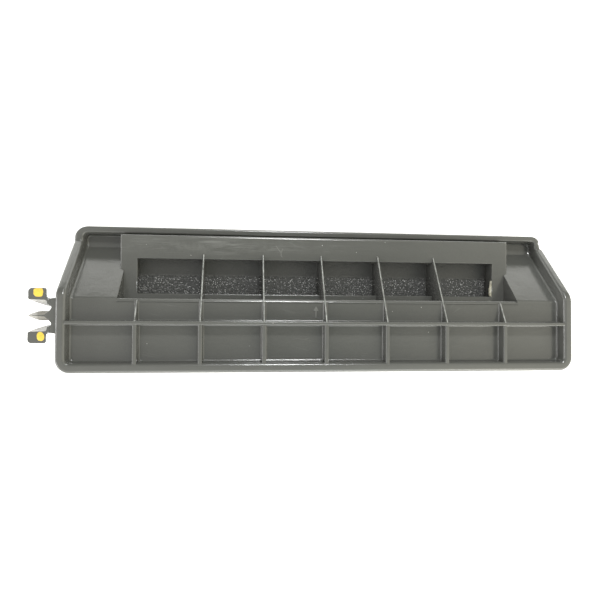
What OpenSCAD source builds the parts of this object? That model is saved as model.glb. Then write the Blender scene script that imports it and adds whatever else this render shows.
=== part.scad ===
// Air filter housing: moulded intake frame with a foam element behind a ribbed window.
// Row frame: +X along the length, +Y up the face, +Z out of the face, Z = 0 at the rear rim.

/* [Shell] */
// outer length of the shell without the end clip, mm
shell_l = 260; // [246:1:300]
// outer height of the shell, mm
shell_h = 74; // [73:0.5:84]
// overall depth, rear rim to bead crown, mm
depth = 44; // [43:0.5:52]
// wall thickness of the moulding, mm
wall = 2; // [1.6:0.1:2.2]
// width of the rounded rim bead, mm
bead_w = 4.8; // [4:0.1:5.2]
// thickness of the rim bead, mm
bead_t = 3.2; // [2.6:0.1:3.4]
// width of the bead along the top edge, mm
top_bead_w = 3.4; // [3.4:0.1:3.8]
// depth of the tray floor below the bead crown, mm
tray_d = 6.3; // [6.1:0.1:6.8]
// height of the fold between tray floor and slope panel, mm
fold_y = 36.2; // [35.8:0.1:36.6]
// rise of the slope panel, which leans back at 45 degrees, mm
lean_rise = 27.9; // [26.5:0.1:28.2]
// outer corner radius at the bottom, mm
corner_bottom_r = 7; // [6:0.5:9]
// outer corner radius at the top, mm
corner_top_r = 5.3; // [5:0.1:5.8]

/* [Window box] */
// outer length of the box behind the window, mm
box_l = 209.8; // [206:0.2:214]
// depth of the window plate below the bead crown, mm
plate_d = 21.4; // [20.5:0.1:22.4]
// height of the top face of the box, mm
box_top = 69.6; // [69:0.1:69.8]
// length of the window, mm
window_l = 192.2; // [186:0.2:196]
// height of the window's lower edge, mm
window_y0 = 39; // [38.4:0.1:40]
// height of the window's upper edge, mm
window_y1 = 57.2; // [56:0.1:58]

/* [Ribs] */
// pitch of the vertical ribs, mm
rib_pitch = 31.1; // [29:0.1:31.4]
// thickness of the ribs across the tray, mm
rib_t = 2; // [1.6:0.1:2.4]
// thickness of the leaning ribs in front of the window, mm
rib_lean_t = 1.6; // [1.2:0.1:2]
// height of the lower face of the cross rib, mm
cross_y = 23.3; // [23:0.1:25]
// thickness of the cross rib, mm
cross_t = 1.8; // [1.4:0.1:2.2]
// height at which the leaning ribs meet the plate, mm
rib_top = 60.2; // [59.4:0.1:62]

/* [End clip] */
// distance the clip stands out of the shell, mm
clip_out = 14; // [14:0.1:15]
// height of the clip's centre line, mm
clip_y = 27.4; // [26.5:0.1:27.6]
// depth of the clip parts, front to back, mm
clip_d = 8.5; // [7:0.1:9]
// height of each latch tab, mm
tab_h = 5.4; // [5:0.1:6]
// length of each latch tab, mm
tab_l = 8.2; // [7:0.1:8.2]
// half width of the locating spear, mm
spear_r = 2.3; // [2:0.1:2.6]
// flexing gap at each arm root, mm
root_gap = 0.3; // [0.3:0.05:0.5]

/* [Filter] */
// thickness of the foam element, mm
foam_t = 10; // [8:0.5:10.5]
// free gap at the foam's right end, mm
foam_short = 4.6; // [2:0.1:8]
// clearance round the foam and the retainer, mm
fit_gap = 0.4; // [0.3:0.05:0.6]
// thickness of the retainer grid, mm
grid_t = 2; // [1.6:0.1:2.2]
// width of the retainer's outer frame, mm
grid_rim = 5; // [4:0.5:6]
// width of each retainer bar, mm
bar_w = 2; // [1.6:0.1:3]
// how far the retainer sits inside the rear rim, mm
grid_recess = 0.8; // [0.6:0.1:1]

/* [Hidden] */
$fn = 48;

hx = shell_l / 2;
inner_x = hx - bead_w;
t22 = tan(22.5);
floor_z = depth - tray_d;
ledge_z = floor_z - lean_rise;
ledge_y = fold_y + lean_rise;
bead_lo = tray_d - bead_t;
bead_mid = tray_d - bead_t / 2;
plate_z = depth - plate_d;
meet_y = fold_y + plate_d - tray_d;
sill_r = wall - 0.2;
box_x = box_l / 2;
box_in = box_x - wall;
top_in = shell_h - top_bead_w;
turn_c = tray_d + 1.5;
turn_y = ledge_y + turn_c * t22;
slope_len = lean_rise * sqrt(2) - turn_c * t22;
foam_z = grid_recess + grid_t + 0.2;
rib_back = foam_z + foam_t + 0.3;
cross_top = cross_y + cross_t;
rib_stop = cross_top + (rib_top - cross_top) * tray_d / plate_d;
pocket_y0 = fold_y + fit_gap;
pocket_y1 = box_top - wall - fit_gap;
pocket_x = box_in - fit_gap;
web_x = -hx - 2.5;
root_r = 1.4;
root_x = web_x - root_gap - root_r;
root_y = 6.6;
tab_x1 = -hx - clip_out + 0.5 + tab_l;
tab_y0 = 7.8;
clip_z0 = depth - 2.5 - clip_d;
clip_z1 = depth - 2.5;
mark_t = 0.2;
moulded = [0.42, 0.42, 0.4];

// puts the shell's own coordinates into the row frame
module place() {
    translate([clip_out / 2, -shell_h / 2, 0]) children();
}

// sweeps a (y, z) outline along X
module along_x(x0, x1) {
    translate([x0, 0, 0])
        rotate([90, 0, 90])
            linear_extrude(height = x1 - x0) children();
}

// sweeps an (x, z) outline along Y
module along_y(y0, y1) {
    translate([0, y1, 0])
        rotate([90, 0, 0])
            linear_extrude(height = y1 - y0) children();
}

// rounded bead section, w wide and bead_t thick, from the origin into +X and +Y
module bead_2d(w) {
    r = bead_t / 2;
    union() {
        translate([r, 0]) square([w - bead_t, bead_t]);
        translate([r, r]) circle(r = r);
        translate([w - r, r]) circle(r = r);
    }
}

// wall outline between two offsets from the tray floor, over all three facets
module wall_2d(lo, hi, y0, y1) {
    polygon([
        [y0, floor_z + lo],
        [fold_y + lo * t22, floor_z + lo],
        [ledge_y + lo * t22, ledge_z + lo],
        [y1, ledge_z + lo],
        [y1, ledge_z + hi],
        [ledge_y + hi * t22, ledge_z + hi],
        [fold_y + hi * t22, floor_z + hi],
        [y0, floor_z + hi]
    ]);
}

// one side of the rim on the +X side
module rim_side() {
    along_x(inner_x, inner_x + wall)
        wall_2d(-wall, bead_mid, bead_w, shell_h - top_bead_w);
    along_x(inner_x - (corner_bottom_r - bead_w), inner_x + wall)
        translate([bead_w - wall, floor_z - wall]) square([wall, bead_mid + wall]);
    along_x(inner_x + bead_w - corner_top_r, inner_x + wall)
        translate([top_in, ledge_z - wall]) square([wall * 0.8, bead_mid + wall]);
    translate([hx - corner_bottom_r, corner_bottom_r, floor_z + bead_lo])
        rotate([0, 0, -90])
            rotate_extrude(angle = 90)
                translate([corner_bottom_r - bead_w, 0]) bead_2d(bead_w);
    along_y(corner_bottom_r, fold_y)
        translate([inner_x, floor_z + bead_lo]) bead_2d(bead_w);
    translate([inner_x, fold_y, floor_z])
        rotate([90, 0, 90])
            rotate([0, 0, 45])
                rotate_extrude(angle = 45)
                    translate([bead_lo, 0]) bead_turned();
    translate([inner_x, fold_y, floor_z])
        rotate([-45, 0, 0])
            translate([0, slope_len, bead_lo])
                rotate([90, 0, 0])
                    linear_extrude(height = slope_len) bead_2d(bead_w);
    translate([inner_x, turn_y, ledge_z + turn_c])
        rotate([90, 0, 90])
            rotate([0, 0, 225])
                rotate_extrude(angle = 45)
                    translate([turn_c - tray_d, 0]) bead_turned();
    along_y(turn_y, shell_h - corner_top_r)
        translate([inner_x, ledge_z + bead_lo]) bead_2d(bead_w);
    translate([hx - corner_top_r, shell_h - corner_top_r, ledge_z + bead_lo])
        rotate_extrude(angle = 90)
            translate([corner_top_r - top_bead_w, 0]) bead_2d(top_bead_w);
}

// bead section with its width along the turning axis
module bead_turned() {
    r = bead_t / 2;
    union() {
        translate([0, r]) square([bead_t, bead_w - bead_t]);
        translate([r, r]) circle(r = r);
        translate([r, bead_w - r]) circle(r = r);
    }
}

module rim_bottom() color(moulded) place() {
    x = hx - corner_bottom_r;
    along_x(-x, x) translate([0, floor_z + bead_lo]) bead_2d(bead_w);
    along_x(-x, x) translate([bead_w - wall, floor_z - wall]) square([wall, bead_mid + wall]);
}

module rim_right() color(moulded) place() {
    rim_side();
}

module rim_left() color(moulded) place() {
    mirror([1, 0, 0]) rim_side();
}

module rim_top() color(moulded) place() {
    x = hx - corner_top_r;
    along_x(-x, x) translate([top_in, ledge_z + bead_lo]) bead_2d(top_bead_w);
    along_x(-x, x) translate([top_in, ledge_z - wall]) square([wall * 0.8, bead_mid + wall]);
}

module tray_floor() color(moulded) place() {
    translate([-inner_x, bead_w, floor_z - wall])
        cube([2 * inner_x, fold_y - wall - bead_w, wall]);
}

// side part of the panel that leans back from the fold
module slope_side(x0, x1) {
    along_x(x0, x1)
        polygon([
            [fold_y - wall, floor_z - wall],
            [fold_y - wall * t22, floor_z - wall],
            [ledge_y - wall * t22, ledge_z - wall],
            [ledge_y, ledge_z],
            [fold_y, floor_z],
            [fold_y - wall, floor_z]
        ]);
}

module slope_panel_left() color(moulded) place() {
    slope_side(-inner_x, -box_x);
}

module slope_panel_right() color(moulded) place() {
    slope_side(box_x, inner_x);
}

// side part of the ledge above the slope panel
module ledge_side(x0, x1) {
    along_x(x0, x1)
        polygon([
            [ledge_y - wall * t22, ledge_z - wall],
            [top_in, ledge_z - wall],
            [top_in, ledge_z],
            [ledge_y, ledge_z]
        ]);
}

module upper_ledge_left() color(moulded) place() {
    ledge_side(-inner_x, -box_x);
}

module upper_ledge_right() color(moulded) place() {
    ledge_side(box_x, inner_x);
}

module ledge_strip() color(moulded) place() {
    along_x(-box_x, box_x)
        translate([box_top, ledge_z - wall]) square([top_in - box_top, wall]);
}

module window_plate() color(moulded) place() {
    difference() {
        translate([-box_in, fold_y, plate_z - wall])
            cube([2 * box_in, box_top - wall - fold_y, wall]);
        translate([-window_l / 2, window_y0, plate_z - wall - 1])
            cube([window_l, window_y1 - window_y0, wall + 2]);
    }
}

module sill_shelf() color(moulded) place() {
    along_x(-box_in, box_in)
        polygon([
            [fold_y - wall, 0],
            [fold_y, 0],
            [fold_y, floor_z - sill_r],
            [fold_y - sill_r, floor_z],
            [fold_y - wall, floor_z]
        ]);
    sill_nose(-box_in, box_in);
}

// rounded front edge of the sill
module sill_nose(x0, x1) {
    along_x(x0, x1)
        translate([fold_y - sill_r, floor_z - sill_r])
            intersection() {
                circle(r = sill_r);
                square(sill_r);
            }
}

// side wall of the box, from the rear rim up to the slope and the plate face
module box_side(x0) {
    along_x(x0, x0 + wall)
        polygon([
            [fold_y - wall, 0],
            [box_top, 0],
            [box_top, plate_z],
            [meet_y, plate_z],
            [fold_y, floor_z],
            [fold_y - wall, floor_z]
        ]);
}

module box_side_left() color(moulded) place() {
    box_side(-box_x);
}

module box_side_right() color(moulded) place() {
    box_side(box_in);
}

module box_top_wall() color(moulded) place() {
    translate([-box_in, box_top - wall, 0])
        cube([2 * box_in, wall, plate_z]);
}

module cross_rib() color(moulded) place() {
    for (i = [0:7]) {
        x0 = i == 0 ? -inner_x : (i - 4) * rib_pitch + rib_t / 2;
        x1 = i == 7 ? inner_x : (i - 3) * rib_pitch - rib_t / 2;
        translate([x0, cross_y, floor_z]) cube([x1 - x0, cross_t, tray_d]);
    }
}

// part of a vertical rib that stands on the tray floor
module rib_foot(x) {
    translate([x - rib_t / 2, bead_w, floor_z])
        cube([rib_t, cross_top - bead_w, tray_d]);
}

// short rib that runs out at the fold
module rib_short(x) {
    rib_foot(x);
    along_x(x - rib_lean_t / 2, x + rib_lean_t / 2)
        polygon([
            [cross_top - 1, floor_z],
            [cross_top - 1, depth],
            [cross_top, depth],
            [rib_stop, floor_z]
        ]);
}

// long rib that leans back over the sill and through the window to the foam
module rib_long(x) {
    rib_foot(x);
    difference() {
        along_x(x - rib_lean_t / 2, x + rib_lean_t / 2)
            polygon([
                [cross_top - 1, floor_z],
                [cross_top - 1, depth],
                [cross_top, depth],
                [rib_top, plate_z],
                [window_y1, plate_z],
                [window_y1, rib_back],
                [window_y0, rib_back],
                [window_y0, plate_z],
                [fold_y, plate_z],
                [fold_y, floor_z - sill_r],
                [fold_y - sill_r, floor_z]
            ]);
        sill_nose(x - 2, x + 2);
    }
}

module rib_1() color(moulded) place() {
    rib_short(-3 * rib_pitch);
}

module rib_2() color(moulded) place() {
    rib_long(-2 * rib_pitch);
}

module rib_3() color(moulded) place() {
    rib_long(-rib_pitch);
}

module rib_4() color(moulded) place() {
    rib_long(0);
}

module rib_5() color(moulded) place() {
    rib_long(rib_pitch);
}

module rib_6() color(moulded) place() {
    rib_long(2 * rib_pitch);
}

module rib_7() color(moulded) place() {
    rib_short(3 * rib_pitch);
}

module direction_arrow() color(moulded) place() {
    translate([-4.7, cross_top + 1.8, floor_z])
        linear_extrude(height = 0.4)
            polygon([
                [-0.4, 0],
                [0.4, 0],
                [0.4, 3.6],
                [1.5, 3.6],
                [0, 6],
                [-1.5, 3.6],
                [-0.4, 3.6]
            ]);
}

module clip_base() color(moulded) place() {
    along_y(clip_y - 8.8, clip_y + 8.6)
        polygon([
            [web_x, clip_z0],
            [-inner_x - wall, clip_z0],
            [-inner_x - wall, floor_z + bead_lo],
            [-hx, floor_z + bead_lo],
            [-hx, depth - bead_t / 2],
            [web_x, depth - bead_t / 2]
        ]);
}

module locating_spear() color(moulded) place() {
    translate([0, clip_y, clip_z0 + 1])
        linear_extrude(height = clip_d - 3.2)
            polygon([
                [web_x, -1.6],
                [-hx - 5.2, -1.6],
                [-hx - 5.8, -spear_r],
                [-hx - 8, -spear_r],
                [-hx - clip_out, -0.5],
                [-hx - clip_out, 0.5],
                [-hx - 8, spear_r],
                [-hx - 5.8, spear_r],
                [-hx - 5.2, 1.6],
                [web_x, 1.6]
            ]);
    translate([0, clip_y, clip_z1 - 2.2])
        along_x(-hx - clip_out + 1.5, web_x)
            polygon([
                [-1.4, 0],
                [1.4, 0],
                [0.3, 1.8],
                [-0.3, 1.8]
            ]);
}

// latch arm above the clip's centre line
module arm() {
    linear_extrude(height = clip_d)
        union() {
            translate([root_x, root_y]) circle(r = root_r);
            polygon([
                [root_x, root_y - root_r],
                [root_x, root_y + root_r],
                [tab_x1, tab_y0 + 2],
                [tab_x1, tab_y0 + tab_h - 0.6],
                [tab_x1 - 0.6, tab_y0 + tab_h],
                [tab_x1 - tab_l + 1.2, tab_y0 + tab_h],
                [tab_x1 - tab_l, tab_y0 + tab_h - 1.2],
                [tab_x1 - tab_l, tab_y0 + 0.6],
                [tab_x1 - tab_l + 0.6, tab_y0],
                [tab_x1, tab_y0]
            ]);
        }
}

module latch_arm_upper() color(moulded) place() {
    translate([0, clip_y, clip_z0]) arm();
}

module latch_arm_lower() color(moulded) place() {
    translate([0, clip_y, clip_z0]) mirror([0, 1, 0]) arm();
}

module latch_mark_upper() color([0.95, 0.84, 0.3]) place() {
    translate([tab_x1 - 5.8, clip_y + tab_y0 + 1.5, clip_z1])
        cube([4.4, tab_h - 1.8, mark_t]);
}

module latch_mark_lower() color([0.95, 0.84, 0.3]) place() {
    translate([tab_x1 - 2.8, clip_y - tab_y0 - 2.4, clip_z1])
        cylinder(r = 1.8, h = mark_t);
}

module foam_element() color([0.14, 0.14, 0.14]) place() {
    translate([-pocket_x, pocket_y0, foam_z])
        cube([2 * pocket_x + fit_gap - foam_short, pocket_y1 - pocket_y0, foam_t]);
}

module retainer_frame() color([0.3, 0.3, 0.3]) place() {
    difference() {
        translate([-pocket_x, pocket_y0, grid_recess])
            cube([2 * pocket_x, pocket_y1 - pocket_y0, grid_t]);
        translate([-pocket_x + grid_rim, pocket_y0 + grid_rim, grid_recess - 1])
            cube([2 * (pocket_x - grid_rim), pocket_y1 - pocket_y0 - 2 * grid_rim, grid_t + 2]);
    }
}

module retainer_bars() color([0.3, 0.3, 0.3]) place() {
    cell = 2 * (pocket_x - grid_rim) / 6;
    for (i = [1:5]) {
        translate([-pocket_x + grid_rim + i * cell - bar_w / 2, pocket_y0 + grid_rim, grid_recess])
            cube([bar_w, pocket_y1 - pocket_y0 - 2 * grid_rim, grid_t]);
    }
}

rim_bottom();
rim_left();
rim_right();
rim_top();
tray_floor();
slope_panel_left();
slope_panel_right();
upper_ledge_left();
upper_ledge_right();
ledge_strip();
window_plate();
sill_shelf();
box_side_left();
box_side_right();
box_top_wall();
cross_rib();
rib_1();
rib_2();
rib_3();
rib_4();
rib_5();
rib_6();
rib_7();
direction_arrow();
clip_base();
locating_spear();
latch_arm_upper();
latch_mark_upper();
latch_arm_lower();
latch_mark_lower();
foam_element();
retainer_frame();
retainer_bars();
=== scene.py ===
import math

import bpy
import bmesh
import numpy as np
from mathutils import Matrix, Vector


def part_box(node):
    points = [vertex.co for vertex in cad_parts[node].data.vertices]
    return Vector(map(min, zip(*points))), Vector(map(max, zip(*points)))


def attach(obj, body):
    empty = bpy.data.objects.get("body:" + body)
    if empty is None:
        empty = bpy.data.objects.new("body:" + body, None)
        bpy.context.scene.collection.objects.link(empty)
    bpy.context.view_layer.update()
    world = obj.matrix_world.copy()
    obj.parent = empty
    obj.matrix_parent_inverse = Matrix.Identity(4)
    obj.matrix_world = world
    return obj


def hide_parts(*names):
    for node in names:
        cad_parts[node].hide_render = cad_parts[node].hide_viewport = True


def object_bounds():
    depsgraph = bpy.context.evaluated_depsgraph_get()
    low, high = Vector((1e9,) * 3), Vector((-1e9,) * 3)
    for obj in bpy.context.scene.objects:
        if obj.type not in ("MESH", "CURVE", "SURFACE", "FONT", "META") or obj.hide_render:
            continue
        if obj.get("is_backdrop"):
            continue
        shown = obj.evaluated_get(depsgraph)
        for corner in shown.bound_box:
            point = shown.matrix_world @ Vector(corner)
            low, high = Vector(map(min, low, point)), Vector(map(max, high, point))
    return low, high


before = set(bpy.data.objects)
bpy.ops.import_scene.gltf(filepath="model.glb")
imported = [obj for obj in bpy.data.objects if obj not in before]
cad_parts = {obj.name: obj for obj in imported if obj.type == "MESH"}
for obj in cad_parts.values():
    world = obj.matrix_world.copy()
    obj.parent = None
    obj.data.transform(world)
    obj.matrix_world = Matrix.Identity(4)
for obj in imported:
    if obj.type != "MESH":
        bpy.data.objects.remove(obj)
bounds_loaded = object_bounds()
rng = np.random.default_rng(7)
SCN = bpy.context.scene

# ---------------------------------------------------------------- the frame's own measures, in mm
# Shell coordinates: x from the middle of the shell, y up from its bottom edge, z from the rear rim.
lo_l, hi_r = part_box("rim_left")[0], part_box("rim_right")[1]
OX = (lo_l.x + hi_r.x) / 2
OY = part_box("rim_bottom")[0].y


def span(node):
    """The corners of a node's box in shell coordinates."""
    a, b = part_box(node)
    off = Vector((OX, OY, 0))
    return (a - off) * 1000, (b - off) * 1000


HX = (hi_r.x - lo_l.x) * 500  # half the shell's length
HY = span("rim_top")[1].y
DEPTH = span("rim_bottom")[1].z
FLOOR = span("tray_floor")[1].z
INNER = span("tray_floor")[1].x
FOLD = span("sill_shelf")[1].y  # where the floor folds back into the slope
RISE = FLOOR - span("upper_ledge_left")[1].z
BOX = span("box_side_right")[1].x
BOXI = span("box_side_right")[0].x
BTOP = span("box_top_wall")[1].y
PLATE = span("window_plate")[1].z
MEET = FOLD + FLOOR - PLATE  # height at which the plate leaves the slope
TRAY = DEPTH - FLOOR
T22 = math.tan(math.pi / 8)
CROSS0, CROSS1 = span("cross_rib")[0].y, span("cross_rib")[1].y
CLIPY = (span("locating_spear")[0].y + span("locating_spear")[1].y) / 2
CLIPZ0, CLIPZ1 = span("latch_arm_upper")[0].z, span("latch_arm_upper")[1].z
FOAM_TOP = span("foam_element")[1].z
WIN_X, WIN_Y0, WIN_Y1 = 96.1, 39.0, 57.2  # window opening: half length, lower and upper edge
RIB_T, LEAN_T = 2.0, 1.3  # thickness of the upright and of the leaning ribs
PLATE_T = 2.0


def row(p):
    """Shell coordinates in mm to the frame's metres."""
    return np.asarray(p, float) * 0.001 + np.array([OX, OY, 0.0])


def shell(v):
    """The frame's metres to shell coordinates in mm."""
    return (v.x - OX) * 1000, (v.y - OY) * 1000, v.z * 1000


# ---------------------------------------------------------------- materials
def new_mat(name):
    """A new node material; gives it, its tree and the object coordinates."""
    m = bpy.data.materials.new(name)
    m.use_nodes = True
    nt = m.node_tree
    nt.nodes.clear()
    return m, nt, nd(nt, "ShaderNodeTexCoord").outputs["Object"]


def nd(nt, kind, props=None, **ins):
    """A node with its properties set and its inputs linked or given, by name or as i<number>."""
    n = nt.nodes.new(kind)
    for k, v in (props or {}).items():
        setattr(n, k, v)
    for k, v in ins.items():
        s = n.inputs[int(k[1:])] if k[0] == "i" and k[1:].isdigit() else n.inputs[k.replace("_", " ")]
        if isinstance(v, bpy.types.NodeSocket):
            nt.links.new(v, s)
        else:
            s.default_value = v
    return n


def math_n(nt, op, a, b=0.0):
    return nd(nt, "ShaderNodeMath", {"operation": op}, i0=a, i1=b).outputs[0]


def mul(nt, a, b):
    return math_n(nt, "MULTIPLY", a, b)


def add(nt, a, b):
    return math_n(nt, "ADD", a, b)


def squared_off(nt, v, centre, width):
    """How far a value is from a centre, in widths, squared."""
    return math_n(nt, "POWER", math_n(nt, "DIVIDE", math_n(nt, "SUBTRACT", v, centre), width), 2.0)


def remap(nt, v, a, b, c, d):
    """Maps a..b to c..d, held at the ends."""
    return nd(nt, "ShaderNodeMapRange", {"clamp": True}, i0=v, i1=a, i2=b, i3=c, i4=d).outputs[0]


def mix_c(nt, fac, a, b):
    """Mixes two colours."""
    n = nt.nodes.new("ShaderNodeMix")
    n.data_type = "RGBA"
    for s, v in ((n.inputs[0], fac), (n.inputs[6], a), (n.inputs[7], b)):
        if isinstance(v, bpy.types.NodeSocket):
            nt.links.new(v, s)
        else:
            s.default_value = v
    return n.outputs[2]


def noise(nt, vec, scale, detail=3.0, rough=0.55, distortion=0.0):
    return nd(nt, "ShaderNodeTexNoise", None, Vector=vec, Scale=scale, Detail=detail,
              Roughness=rough, Distortion=distortion).outputs[0]


def stretched(nt, vec, sx, sy, sz, rot=(0, 0, 0)):
    return nd(nt, "ShaderNodeMapping", None, Vector=vec, Scale=(sx, sy, sz), Rotation=rot).outputs[0]


def bump(nt, height, strength, distance, under=None):
    rest = {} if under is None else {"Normal": under}
    node = nd(nt, "ShaderNodeBump", None, Strength=strength, Distance=distance, Height=height, **rest)
    return node.outputs[0]


def surface(nt, colour, rough, normal, spec=0.5):
    sh = nd(nt, "ShaderNodeBsdfPrincipled", None, Base_Color=colour, Roughness=rough, Normal=normal)
    sh.inputs["Specular IOR Level"].default_value = spec
    nd(nt, "ShaderNodeOutputMaterial", None, Surface=sh.outputs[0])


def plastic(name, dark, light, rough0, rough1, spec=0.5, rubbed=None):
    """Moulded plastic: clouded colour, flow lines, fine texture, scratches and stray dust."""
    m, nt, obj = new_mat(name)
    cloud = noise(nt, obj, 28.0, 4.0)
    flow = noise(nt, stretched(nt, obj, 9.0, 240.0, 240.0), 1.0, 4.0, 0.6, 0.6)
    fine = noise(nt, obj, 3200.0, 2.0)
    mid = noise(nt, obj, 420.0, 3.0)
    shade = add(nt, mul(nt, cloud, 0.6), mul(nt, flow, 0.4))
    base = mix_c(nt, remap(nt, shade, 0.3, 0.7, 0.0, 1.0), (*dark, 1), (*light, 1))
    base = mix_c(nt, remap(nt, fine, 0.3, 0.75, 0.0, 0.22), base, (*[c * 1.5 for c in light], 1))
    # scratches: thin cell borders in two stretched, wandering directions
    wander = nd(nt, "ShaderNodeTexNoise", None, Vector=obj, Scale=30.0, Detail=2.0).outputs[1]
    wobble = nd(nt, "ShaderNodeVectorMath", {"operation": "SCALE"}, i0=wander, Scale=0.006).outputs[0]
    bent = nd(nt, "ShaderNodeVectorMath", {"operation": "ADD"}, i0=obj, i1=wobble).outputs[0]
    lines = None
    for rot, sx, sy in ((0.5, 24.0, 150.0), (-0.9, 18.0, 120.0)):
        v = nd(nt, "ShaderNodeTexVoronoi", {"feature": "DISTANCE_TO_EDGE"},
               Vector=stretched(nt, bent, sx, sy, sy, (0, 0, rot)), Scale=1.0).outputs[0]
        hit = remap(nt, v, 0.004, 0.012, 1.0, 0.0)
        lines = hit if lines is None else math_n(nt, "MAXIMUM", lines, hit)
    patch = remap(nt, noise(nt, obj, 55.0, 2.0), 0.58, 0.7, 0.0, 1.0)
    lines = mul(nt, mul(nt, lines, patch), 0.06)
    base = mix_c(nt, lines, base, (0.34, 0.34, 0.33, 1))
    if rubbed:
        # pale rubbing marks in one region, mostly along the part
        at = nd(nt, "ShaderNodeSeparateXYZ", None, Vector=obj)
        off = add(nt, squared_off(nt, at.outputs[0], rubbed[0], 0.045),
                  squared_off(nt, at.outputs[1], rubbed[1], 0.004))
        region = math_n(nt, "EXPONENT", mul(nt, off, -1.0))
        along = stretched(nt, obj, 60.0, 800.0, 800.0, (0, 0, 0.03))
        wipe = remap(nt, noise(nt, along, 1.0, 4.0, 0.6, 0.8), 0.48, 0.72, 0.0, 1.0)
        soft = remap(nt, noise(nt, obj, 90.0, 4.0, 0.7), 0.45, 0.75, 0.0, 0.6)
        wipe = mul(nt, math_n(nt, "MAXIMUM", wipe, soft), region)
        base = mix_c(nt, mul(nt, wipe, 0.32), base, (0.26, 0.265, 0.25, 1))
    vo = nd(nt, "ShaderNodeTexVoronoi", None, Vector=obj, Scale=260.0)
    dot = remap(nt, vo.outputs[0], 0.03, 0.05, 1.0, 0.0)
    chosen = nd(nt, "ShaderNodeSeparateColor", None, Color=vo.outputs[1]).outputs[0]
    speck = mul(nt, dot, remap(nt, chosen, 0.8, 0.82, 0.0, 0.8))
    base = mix_c(nt, speck, base, (0.7, 0.69, 0.66, 1))
    rough = add(nt, remap(nt, shade, 0.35, 0.65, rough0, rough1), mul(nt, lines, 0.8))
    relief = bump(nt, fine, 0.25, 0.00004)
    relief = bump(nt, mid, 0.35, 0.00012, relief)
    relief = bump(nt, cloud, 0.35, 0.0008, relief)
    surface(nt, base, rough, relief, spec)
    return m


def crest_highlight_mat():
    """Painted highlight on the crests of the leaning ribs: the same plastic, paler and uneven."""
    m, nt, obj = new_mat("crest_painted_highlight")
    n1 = noise(nt, obj, 260.0, 4.0)
    n2 = noise(nt, obj, 1500.0, 2.0)
    col = mix_c(nt, remap(nt, n1, 0.35, 0.65, 0.0, 1.0), (0.10, 0.103, 0.096, 1), (0.26, 0.265, 0.25, 1))
    col = mix_c(nt, remap(nt, n2, 0.5, 0.8, 0.0, 0.5), col, (0.33, 0.33, 0.32, 1))
    surface(nt, col, remap(nt, n1, 0.3, 0.7, 0.12, 0.25), bump(nt, n2, 0.3, 0.0001))
    return m


def foam_mat():
    """Open-cell foam: dark cells painted as shade, lighter struts, a flat lighter tone painted over the
    shaded band and, where light reaches, small painted glints.
    """
    m, nt, obj = new_mat("open_cell_foam")
    strut_and_painted_shade = nd(nt, "ShaderNodeAttribute", {"attribute_name": "strut_and_painted_shade"}).outputs["Fac"]
    painted_glint = nd(nt, "ShaderNodeAttribute", {"attribute_name": "painted_glint"}).outputs["Fac"]
    grain = noise(nt, obj, 2600.0, 2.0)
    patchy = noise(nt, obj, 120.0, 3.0)
    # painted shade: cells darker than the struts, and one flat, lighter tone where the window's edge shades
    # the foam
    col = mix_c(nt, strut_and_painted_shade, (0.032, 0.033, 0.031, 1), (0.086, 0.087, 0.082, 1))
    col = mix_c(nt, remap(nt, grain, 0.45, 0.8, 0.0, 0.3), col, (0.045, 0.046, 0.044, 1))
    # painted glints: small bright dots standing for highlights, only where the mesh's glint mask marks light
    cells = nd(nt, "ShaderNodeTexVoronoi", None, Vector=obj, Scale=1900.0)
    glint = remap(nt, cells.outputs[0], 0.28, 0.4, 1.0, 0.0)
    pick = nd(nt, "ShaderNodeSeparateColor", None, Color=cells.outputs[1])
    glint = mul(nt, glint, remap(nt, pick.outputs[0], 0.66, 0.97, 0.0, 1.0))
    glint = mul(nt, glint, remap(nt, patchy, 0.35, 0.6, 0.5, 1.0))
    col = mix_c(nt, mul(nt, painted_glint, glint), col, (0.85, 0.85, 0.83, 1))
    surface(nt, col, remap(nt, strut_and_painted_shade, 0.0, 1.0, 0.6, 0.3), bump(nt, grain, 0.6, 0.0002), 0.4)
    return m


def paint_mat():
    """Yellow paint with orange clouds and pale spots."""
    m, nt, obj = new_mat("yellow_dab")
    n1 = noise(nt, obj, 700.0, 3.0)
    n2 = noise(nt, obj, 2500.0, 2.0)
    col = mix_c(nt, remap(nt, n1, 0.5, 0.72, 0.0, 0.9), (0.60, 0.42, 0.035, 1), (0.58, 0.31, 0.028, 1))
    col = mix_c(nt, remap(nt, n2, 0.55, 0.8, 0.0, 0.5), col, (0.70, 0.56, 0.14, 1))
    surface(nt, col, remap(nt, n2, 0.3, 0.7, 0.35, 0.6), bump(nt, n1, 0.5, 0.0001))
    return m


def glue_mat():
    """Pale, slightly lumpy adhesive."""
    m, nt, obj = new_mat("pale_adhesive")
    n1 = noise(nt, obj, 900.0, 3.0)
    col = mix_c(nt, remap(nt, n1, 0.35, 0.7, 0.0, 1.0), (0.45, 0.42, 0.30, 1), (0.56, 0.54, 0.45, 1))
    surface(nt, col, remap(nt, n1, 0.3, 0.7, 0.3, 0.5), bump(nt, n1, 0.5, 0.0002))
    return m


GREY_LOOK = ((0.0535, 0.0542, 0.0495), (0.063, 0.064, 0.0585), 0.15, 0.2, 0.6)
GREY = plastic("grey_polypropylene", *GREY_LOOK)
MARK = plastic("moulded_mark", (0.074, 0.075, 0.069), (0.12, 0.12, 0.112), 0.2, 0.3, 0.6)
PLATE_GREY = plastic("grey_polypropylene_rubbed", *GREY_LOOK, rubbed=(-0.045, 0.0275))
DARK = plastic("retainer_polypropylene", (0.045, 0.046, 0.045), (0.06, 0.061, 0.06), 0.42, 0.58)
# painted highlight for the crests of the leaning ribs
CREST_HIGHLIGHT = crest_highlight_mat()
# pale colour painted as the reflection on the spear's facets and the latch flanks
FLANK_REFLECTION = plastic("flank_painted_reflection", (0.18, 0.172, 0.153), (0.25, 0.238, 0.21), 0.2, 0.3)
FOAM = foam_mat()
YELLOW = paint_mat()
GLUE = glue_mat()


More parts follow.
